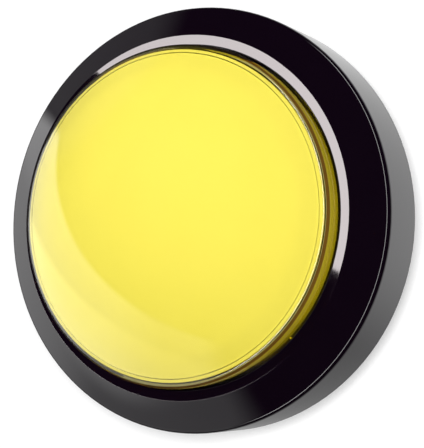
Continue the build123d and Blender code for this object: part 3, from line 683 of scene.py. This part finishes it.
# %% Black finish
POLISHED_OUTSIDE = (38.6, 39.2)
POLISHED_ABOVE = (0.2, 0.9)
MATT_GLOSS = (0.34, 0.46)
POLISHED_GLOSS = (0.02, 0.05)
BLACK_PLASTIC = (shade(0.0026, 0.0009, 0.0030), shade(0.0032, 0.0012, 0.0036))
black = Finish("housing_black", ior=1.59)
polished = black.radius.step(*POLISHED_OUTSIDE) * black.z.step(*POLISHED_ABOVE)
patches = black.noise(size_mm=6.0, detail=4.0)
matt_gloss = (1 - polished) * patches.between(*MATT_GLOSS)
black.set(base_color=patches.mix(*BLACK_PLASTIC))
black.set(roughness=matt_gloss + polished * patches.between(*POLISHED_GLOSS))
black.bump((1 - polished) * black.noise(size_mm=0.3, detail=4.0), depth_mm=0.006)
stand_in(threaded_housing, black, "bezel_housing", "base")

# %% [markdown]
# ## The nut
# The nut screws along the stem and clamps the panel. Inside it has a ridge that runs in the stem's
# groove with room to spare. It is made as the stem's thread was, with its bore's cylinder left out
# of the copy. The ridge stops short of the bore's ends, so that it clears the plain land at the
# stem's end when the nut is unscrewed.

# %% Threaded nut
NUT_BORE = 12.1
NUT_THREAD_TOP = -6.8
NUT_THREAD_BOTTOM = -13.7
RIDGE = 0.6
RIDGE_FLANK = (0.06, 0.28)
RIDGE_FADE = 0.7
RIDGE_INSET = 0.4


def threaded_bore():
    """The bore less a ridge in the middle of the stem's groove, which fades out at both ends."""
    points, triangles = cad_triangles("mounting_nut")
    radius = np.hypot(points[:, 0], points[:, 1])
    skin = np.abs(radius - NUT_BORE) < NEAR
    length = (points[:, 2] < NUT_THREAD_TOP + NEAR) & (points[:, 2] > NUT_THREAD_BOTTOM - NEAR)
    angle = ring_angles(points, NUT_BORE, NUT_THREAD_TOP)
    level = heights(NUT_THREAD_TOP, NUT_THREAD_BOTTOM)
    below_top = NUT_THREAD_TOP - RIDGE_INSET - level
    above_bottom = level - RIDGE_INSET - NUT_THREAD_BOTTOM
    fade = ease(0, RIDGE_FADE, below_top) * ease(0, RIDGE_FADE, above_bottom)
    ridge = RIDGE * fade * (1 - ease(*RIDGE_FLANK, thread_phase(level, angle)))
    bore = grid_part(around_axis(NUT_BORE - ridge, level, angle))
    return [opened(points, triangles, skin & length), bore]


threaded_nut = piece("threaded_nut", threaded_bore())
nut_black = moulded("nut_black", (0.020, 0.020, 0.021), 0.42, grain_mm=0.35, depth_mm=0.006)
stand_in(threaded_nut, nut_black, "mounting_nut", "nut")

# %% [markdown]
# ## The return spring
# The spring is drawn wire wound on a mandrel. Its end turns lie closed, wire on wire, so that it
# stands flat, and only the turns between are open. A screw modifier would give every turn the same
# rise. A helix with a changing rise gives the closed ends.

# %% Coil spring
SPRING_RADIUS = 13.0
WIRE_RADIUS = 0.6
WIRE_SIDES = 20
SPRING_TURNS = 5.5
ROWS_PER_COIL = 72
CLOSED_RISE = 2.02 * WIRE_RADIUS
OPENING_TURNS = (0.7, 1.3)
SPRING_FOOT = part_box("return_spring")[0][2] / MM
SPRING_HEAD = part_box("return_spring")[1][2] / MM


def coil_spring():
    """A wire's circle along a helix whose rise is one wire a turn at the ends, more between."""
    turn = np.linspace(0, SPRING_TURNS, int(SPRING_TURNS * ROWS_PER_COIL) + 1)
    opening = ease(*OPENING_TURNS, turn) * ease(*OPENING_TURNS, SPRING_TURNS - turn)
    rise = SPRING_HEAD - SPRING_FOOT - 2 * WIRE_RADIUS
    step = turn[1]
    spare = (rise - CLOSED_RISE * SPRING_TURNS) / (opening[1:].sum() * step)
    climb = np.append(0, np.cumsum(CLOSED_RISE + spare * opening[1:]) * step)
    height = SPRING_FOOT + WIRE_RADIUS + climb
    angle = 2 * math.pi * turn
    path = around_axis(SPRING_RADIUS, height, angle)
    outward = around_axis(1.0, 0.0, angle)
    ahead = np.gradient(path, axis=0)
    ahead = ahead / np.linalg.norm(ahead, axis=1, keepdims=True)
    upward = np.cross(outward, ahead)
    round_wire = whole_turn(WIRE_SIDES)[None, :, None]
    section = np.cos(round_wire) * outward[:, None] + np.sin(round_wire) * upward[:, None]
    return path[:, None] + WIRE_RADIUS * section


def wire_ends(rows, columns):
    """The two flat ends of a swept wire, as many-sided faces."""
    section = np.arange(columns)
    return [section.tolist(), (section + (rows - 1) * columns).tolist()]


wire = coil_spring()
spring = piece("coil_spring", [grid_part(wire)], ends=wire_ends(*wire.shape[:2]))

# %% [markdown]
# ## Worked metals
# Drawn wire and rolled strip carry fine lines along the way they were worked, and they tarnish in
# patches. An image of brushed metal could show that, but it would repeat. Noise that is drawn out
# along one axis gives the lines, in the gloss and as a shallow bump, and a broader noise dulls the
# colour.

# %% Spring steel
PATCH_SIZE = 3.5
PATCH_EDGE = (0.42, 0.70)
LINE_GLOSS = 0.08
PATCH_GLOSS = 0.10
LINE_DEPTH = 0.002
WOUND = (1.0, 1.0, 4.0)


def metal(name, colour, roughness, grain_mm, finer, tarnish=0.25):
    """A worked metal: fine lines along one axis, and a duller colour in broad patches."""
    made = Finish(name, metallic=1.0)
    lines = made.noise(grain_mm, detail=4.0, finer=finer)
    dulled = made.noise(PATCH_SIZE).step(*PATCH_EDGE)
    dull = shade(*(part * (1 - tarnish) for part in colour))
    made.set(base_color=dulled.mix(shade(*colour), dull))
    line_gloss = lines.between(roughness - LINE_GLOSS, roughness + LINE_GLOSS)
    made.set(roughness=line_gloss + PATCH_GLOSS * dulled)
    made.bump(lines, LINE_DEPTH)
    return made


steel = metal("spring_steel", (0.62, 0.62, 0.61), roughness=0.28, grain_mm=0.12, finer=WOUND)
stand_in(spring, steel, "return_spring", "base")
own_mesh(spring)

# %% [markdown]
# ## Holder, lamp and switch
# Under the stem hang the nylon holder with its lamp and the snap-action switch. Their solids
# already have the right shapes, so they stay as the frame has them and get their finishes: dark
# nylon, phenolic black, brass tabs with rolling lines along the strip, silver rivets, a red switch
# button and a milky lamp.

# %% Plastics of the holder and the switch
# For each node: finish, colour, roughness, grain and its depth in mm, and the spread of colour.
PLASTICS = {
    "lamp_switch_holder": ("holder_grey", (0.050, 0.050, 0.053), 0.40, 0.30, 0.006),
    "lamp_base": ("lamp_white", (0.80, 0.80, 0.77), 0.45, 0.25, 0.004, 0.03),
    "microswitch_case": ("switch_black", (0.025, 0.025, 0.027), 0.50, 0.22, 0.008),
    "microswitch_cover": ("switch_cover_grey", (0.035, 0.035, 0.038), 0.46, 0.22, 0.008),
    "switch_button": ("button_red", (0.55, 0.030, 0.020), 0.30, 0.25, 0.002),
}
LED_MILKY = (shade(0.93, 0.93, 0.90), shade(0.88, 0.88, 0.86))
LED_GLOSS = (0.15, 0.35)
for node, recipe in PLASTICS.items():
    dress(moulded(*recipe), node)
led = Finish("led_clear", transmission_weight=0.9, ior=1.5)
haze = led.noise(size_mm=1.2)
led.set(base_color=haze.mix(*LED_MILKY))
led.set(roughness=haze.between(*LED_GLOSS))
dress(led, "lamp_led")
print("plastics dressed:", len(PLASTICS) + 1)

# %% Metals of the lamp and the switch
ROLLED_UPRIGHT = (1.0, 1.0, 0.06)
ROLLED_LEVEL = (0.06, 1.0, 1.0)
DRAWN_UPRIGHT = (1.0, 1.0, 0.2)
PRESSED = (1.0, 1.0, 1.0)

brass = metal("terminal_brass", (0.78, 0.60, 0.30), 0.30, grain_mm=0.15, finer=ROLLED_UPRIGHT)
dress(brass, "common_terminal", "normally_open_terminal", "normally_closed_terminal")
dress(brass, "lamp_contact_front", "lamp_contact_rear")
bronze = metal("blade_bronze", (0.72, 0.46, 0.25), 0.26, grain_mm=0.15, finer=ROLLED_LEVEL)
dress(bronze, "snap_blade")
silver = metal("contact_silver", (0.80, 0.80, 0.78), 0.24, 0.20, finer=PRESSED, tarnish=0.15)
dress(silver, "moving_contact", "fixed_contacts")
tin = metal("tinned_wire", (0.70, 0.70, 0.70), 0.32, 0.20, finer=DRAWN_UPRIGHT, tarnish=0.15)
dress(tin, "lamp_leads")
print("metals dressed: brass, bronze, silver and tin")

# %% [markdown]
# ## The floor
# The photograph has a white ground with a thin, tight shadow at the lower right. More light on the
# ground would bleach the button, so the floor is pale, takes the shadow, and adds a white of its
# own for the eye alone. What the gloss mirrors is a round sheet under the button, brighter towards
# the right, where the ring's flank looks at it, and dark beyond its edge. Its glow is painted light
# and shade, and its dim side stands for the button's shadow on the floor. Light Path tells the
# eye's rays from the mirrored ones.

# %% Floor
BLACK = shade(0, 0, 0)
WHITE = shade(1, 1, 1)
FLOOR = CAD_BOX[0][2]
FLOOR_RADIUS = 500.0
FLOOR_SEGMENTS = 96
FLOOR_GREY = 0.80
NEAR_WHITE = 0.25
FAR_WHITE = 0.87
FAR_FLOOR = (80.0, 300.0)
SHEET_EDGE = (140.0, 210.0)
MIRRORED_PAINTED_SHADE = 0.36
BRIGHT_SIDE = off_axis(90, 30)
BRIGHT_SPAN = (0.05, 0.85)
NO_ZERO = 1.0


def ray_kinds(start):
    """Two masks: rays that the eye sees by, straight or through glass, and mirrored rays."""
    def path(output):
        return start.node("LightPath", {}, {}, output)

    through = path("Is Transmission Ray") * (1 - path("Diffuse Depth").math("MINIMUM", 1.0))
    turned_back = path("Glossy Depth").math("MINIMUM", 1.0)
    seen = path("Is Camera Ray").math("MAXIMUM", through * (1 - turned_back))
    mirrored = path("Is Glossy Ray") * (1 - path("Is Transmission Ray")) + through * turned_back
    return seen, mirrored


floor_section = np.array([(0.0, FLOOR / MM), (FLOOR_RADIUS, FLOOR / MM)])
floor = piece("floor", [turned(floor_section, whole_turn(FLOOR_SEGMENTS))])
ground = Finish("floor_white", roughness=0.9, specular_ior_level=0.0, emission_strength=1.0)
seen, mirrored = ray_kinds(ground.place)
sheet = 1 - ground.radius.step(*SHEET_EDGE)
sideways = (ground.x * BRIGHT_SIDE[0] + ground.y * BRIGHT_SIDE[1]) / (ground.radius + NO_ZERO)
# The mirrored sheet's uneven glow is painted light, dim where the button's shadow would fall.
mirror_white_and_painted_shade = sheet * sideways.step(*BRIGHT_SPAN).between(MIRRORED_PAINTED_SHADE, 1.0)
eye_white = ground.radius.step(*FAR_FLOOR).between(NEAR_WHITE, FAR_WHITE)
ground.set(base_color=(FLOOR_GREY * (1 - mirrored)).mix(BLACK, WHITE))
ground.set(emission_color=(seen * eye_white + mirrored * mirror_white_and_painted_shade).mix(BLACK, WHITE))
floor.data.materials.append(ground.material)
print("floor at", round(FLOOR, 4), "m")

# %% [markdown]
# ## The room
# The eye sees white behind the floor, and the black ring mirrors a dark room with three lit things
# in it. A pale wall low on the left makes the crescent on the dome and greys the left of the ring.
# A dim corner lies above it, and a narrow band of light on the right draws the thin lines along the
# ring's shoulder and the lens's corner. Modelled panels could stand there, but they would light the
# button too. So each is a smooth step of how far a mirrored direction goes along a fixed one, and
# only mirrored rays see it. The wall's lower part, which the ring mirrors, is dimmer and ends
# sooner than the upper part, which the dome mirrors.

# %% Directions in the room
world = bpy.data.worlds.new("studio")
bpy.context.scene.world = world
world.use_nodes = True
direction = Field(world.node_tree, None).node("TexCoord", {}, {}, "Generated")


def along(tilt_deg, turn_deg):
    """How far the looked-at direction goes along another: one there, zero at a right angle."""
    other = {0: direction, 1: tuple(off_axis(tilt_deg, turn_deg))}
    return direction.node("VectorMath", {"operation": "DOT_PRODUCT"}, other, "Value")


print("room named", world.name)

# %% Wall, corner and band
# An edge is a direction's tilt and turn in degrees, and where along it the rise starts and ends.
WALL_EDGE = (132.6, -117.9, 0.02, 0.07)
WALL_FRONT = (90, 172, -0.10, 0.10)
WALL_BACK = (90, 249)
BACK_EDGE = (-0.03, 0.03)
BACK_REACH = 0.06
LOW_WALL = (151.5, -26, -0.352, -0.328)
UPPER_LEFT = (90, 180, 0.40, 0.80)
UPPER_SHARE = (0.50, 1.02)
LOWER_LEFT = (90, 180, 0.80, 0.97)
LOWER_SHARE = (0.42, 0.78)
ROOM_CORNER = (90, 143, 0.90, 0.975)
BAND_FAR = (27.4, 169.0, 0.03, 0.06)
BAND_NEAR = (27.4, 169.0, 0.13, 0.16)
BAND_END = (90, -10, 0.0, 0.25)


def facing(tilt_deg, turn_deg, low, high):
    """Rises from zero to one as the looked-at direction comes round to another."""
    return along(tilt_deg, turn_deg).step(low, high)


low_wall = facing(*LOW_WALL)
upper_share = facing(*UPPER_LEFT).between(*UPPER_SHARE)
lower_share = facing(*LOWER_LEFT).between(*LOWER_SHARE)
wall_back = (along(*WALL_BACK) + BACK_REACH * (1 - low_wall)).step(*BACK_EDGE)
wall = facing(*WALL_EDGE) * facing(*WALL_FRONT) * wall_back
wall = wall * (upper_share + low_wall * (lower_share - upper_share))
corner = facing(*ROOM_CORNER)
band = facing(*BAND_FAR) * (1 - facing(*BAND_NEAR)) * facing(*BAND_END)
print("nodes in the room so far:", len(world.node_tree.nodes))

# %% Room light
AMBIENT = 0.65
DARK_ROOM = 0.002
WALL_LIGHT = 1.35
CORNER_LIGHT = 0.22
BAND_LIGHT = 7.0
seen, mirrored = ray_kinds(direction)
room = DARK_ROOM + wall * WALL_LIGHT + corner * CORNER_LIGHT + band * BAND_LIGHT
strength = seen + (1 - seen) * (mirrored * room + (1 - mirrored) * AMBIENT)
backdrop = world.node_tree.nodes["Background"]
backdrop.inputs["Color"].default_value = WHITE
world.node_tree.links.new(strength.socket, backdrop.inputs["Strength"])
print("room lit at", AMBIENT)

# %% [markdown]
# ## Lamps
# One large soft lamp could light everything, but the gloss would mirror it, and its shadow would be
# broad. So each lamp here has one job. The key above the viewer's left shoulder and the fill from
# the upper left light the button but not the floor. A small lamp beside the camera lights the
# button from the front, and another in the same place lights the floor alone, which gives the tight
# shadow. The chamfer beside the lens mirrors two lamps that form an L and light only the housing:
# one whole rectangle would also show as a smear in the gap. The last lamp brightens the white ring
# in the skirt. No lamp but the chamfer's shows in the gloss or through the lens.

# %% Lamp helpers
UNSEEN = {"visible_glossy": False, "visible_transmission": False}


def lamp(name, toward, distance, width, height, power, shift=(0.0, 0.0), **flags):
    """A flat lamp in a direction from the button, facing back, shifted in its own plane."""
    data = bpy.data.lights.new(name, "AREA")
    data.shape = "RECTANGLE"
    data.size = width
    data.size_y = height
    data.energy = power
    back = np.array(toward) / np.linalg.norm(toward)
    right = np.cross(from_picture(0, 1, 0), back)
    right = right / np.linalg.norm(right)
    up = np.cross(back, right)
    made = aimed(name, data, back * distance + right * shift[0] + up * shift[1], right, up, back)
    for flag, value in flags.items():
        setattr(made, flag, value)
    print(name, round(power, 2), "W")
    return made


def light_chosen(made, state, *pieces):
    """Lets a lamp light these pieces alone, or all but these."""
    chosen = bpy.data.collections.new(made.name)
    for each in pieces:
        chosen.objects.link(each)
    for each in chosen.collection_objects:
        each.light_linking.link_state = state
    made.light_linking.receiver_collection = chosen


print("most lamps set", " and ".join(UNSEEN), "to False")

# %% Lamps
# Sides are directions from the button. Distances and sizes are in metres.
KEY_SIDE = from_picture(-0.35, 0.45, 1.0)
FILL_SIDE = off_axis(74, 145)
BY_CAMERA = (from_picture(-0.018, 0.018, 1.0), 0.262)

key = lamp("key", KEY_SIDE, distance=0.9, width=0.5, height=0.5, power=4.45, **UNSEEN)
light_chosen(key, "EXCLUDE", floor)
fill = lamp("fill", FILL_SIDE, distance=0.8, width=0.5, height=0.5, power=4.6, **UNSEEN)
light_chosen(fill, "EXCLUDE", floor)
lamp("front", *BY_CAMERA, width=0.012, height=0.012, power=0.264, **UNSEEN)
shadow_light = lamp("shadow_light", *BY_CAMERA, width=0.01, height=0.01, power=0.32, **UNSEEN)
light_chosen(shadow_light, "INCLUDE", floor)

# %% Chamfer and skirt lamps
CHAMFER_PLACE = (off_axis(38.7, 191.0), 2.0)
CHAMFER_WATTS_PER_M2 = 35.2
CHAMFER_COLOUR = (1.0, 0.92, 0.93)
SKIRT_SIDE = off_axis(52, -15)
CHAMFER_LAMPS = {
    "chamfer_upright": {"width": 0.61, "height": 1.27, "shift": (-0.505, 0.0)},
    "chamfer_level": {"width": 1.01, "height": 0.635, "shift": (0.305, -0.3175)},
}
for name, layout in CHAMFER_LAMPS.items():
    power = CHAMFER_WATTS_PER_M2 * layout["width"] * layout["height"]
    chamfer = lamp(name, *CHAMFER_PLACE, power=power, visible_diffuse=False, **layout)
    chamfer.data.color = CHAMFER_COLOUR
    light_chosen(chamfer, "INCLUDE", threaded_housing)
skirt_light = lamp("skirt_light", SKIRT_SIDE, 0.6, width=0.8, height=0.8, power=3.3, **UNSEEN)
light_chosen(skirt_light, "INCLUDE", NODES["lens_seat_ring"], NODES["plunger"])

# %% [markdown]
# ## The picture
# Blender's usual view transform would grey the white ground and dull the yellow. So the plain one
# is set, which shows colours about as they are written.

# %% The view transform
bpy.context.scene.view_settings.view_transform = "Standard"
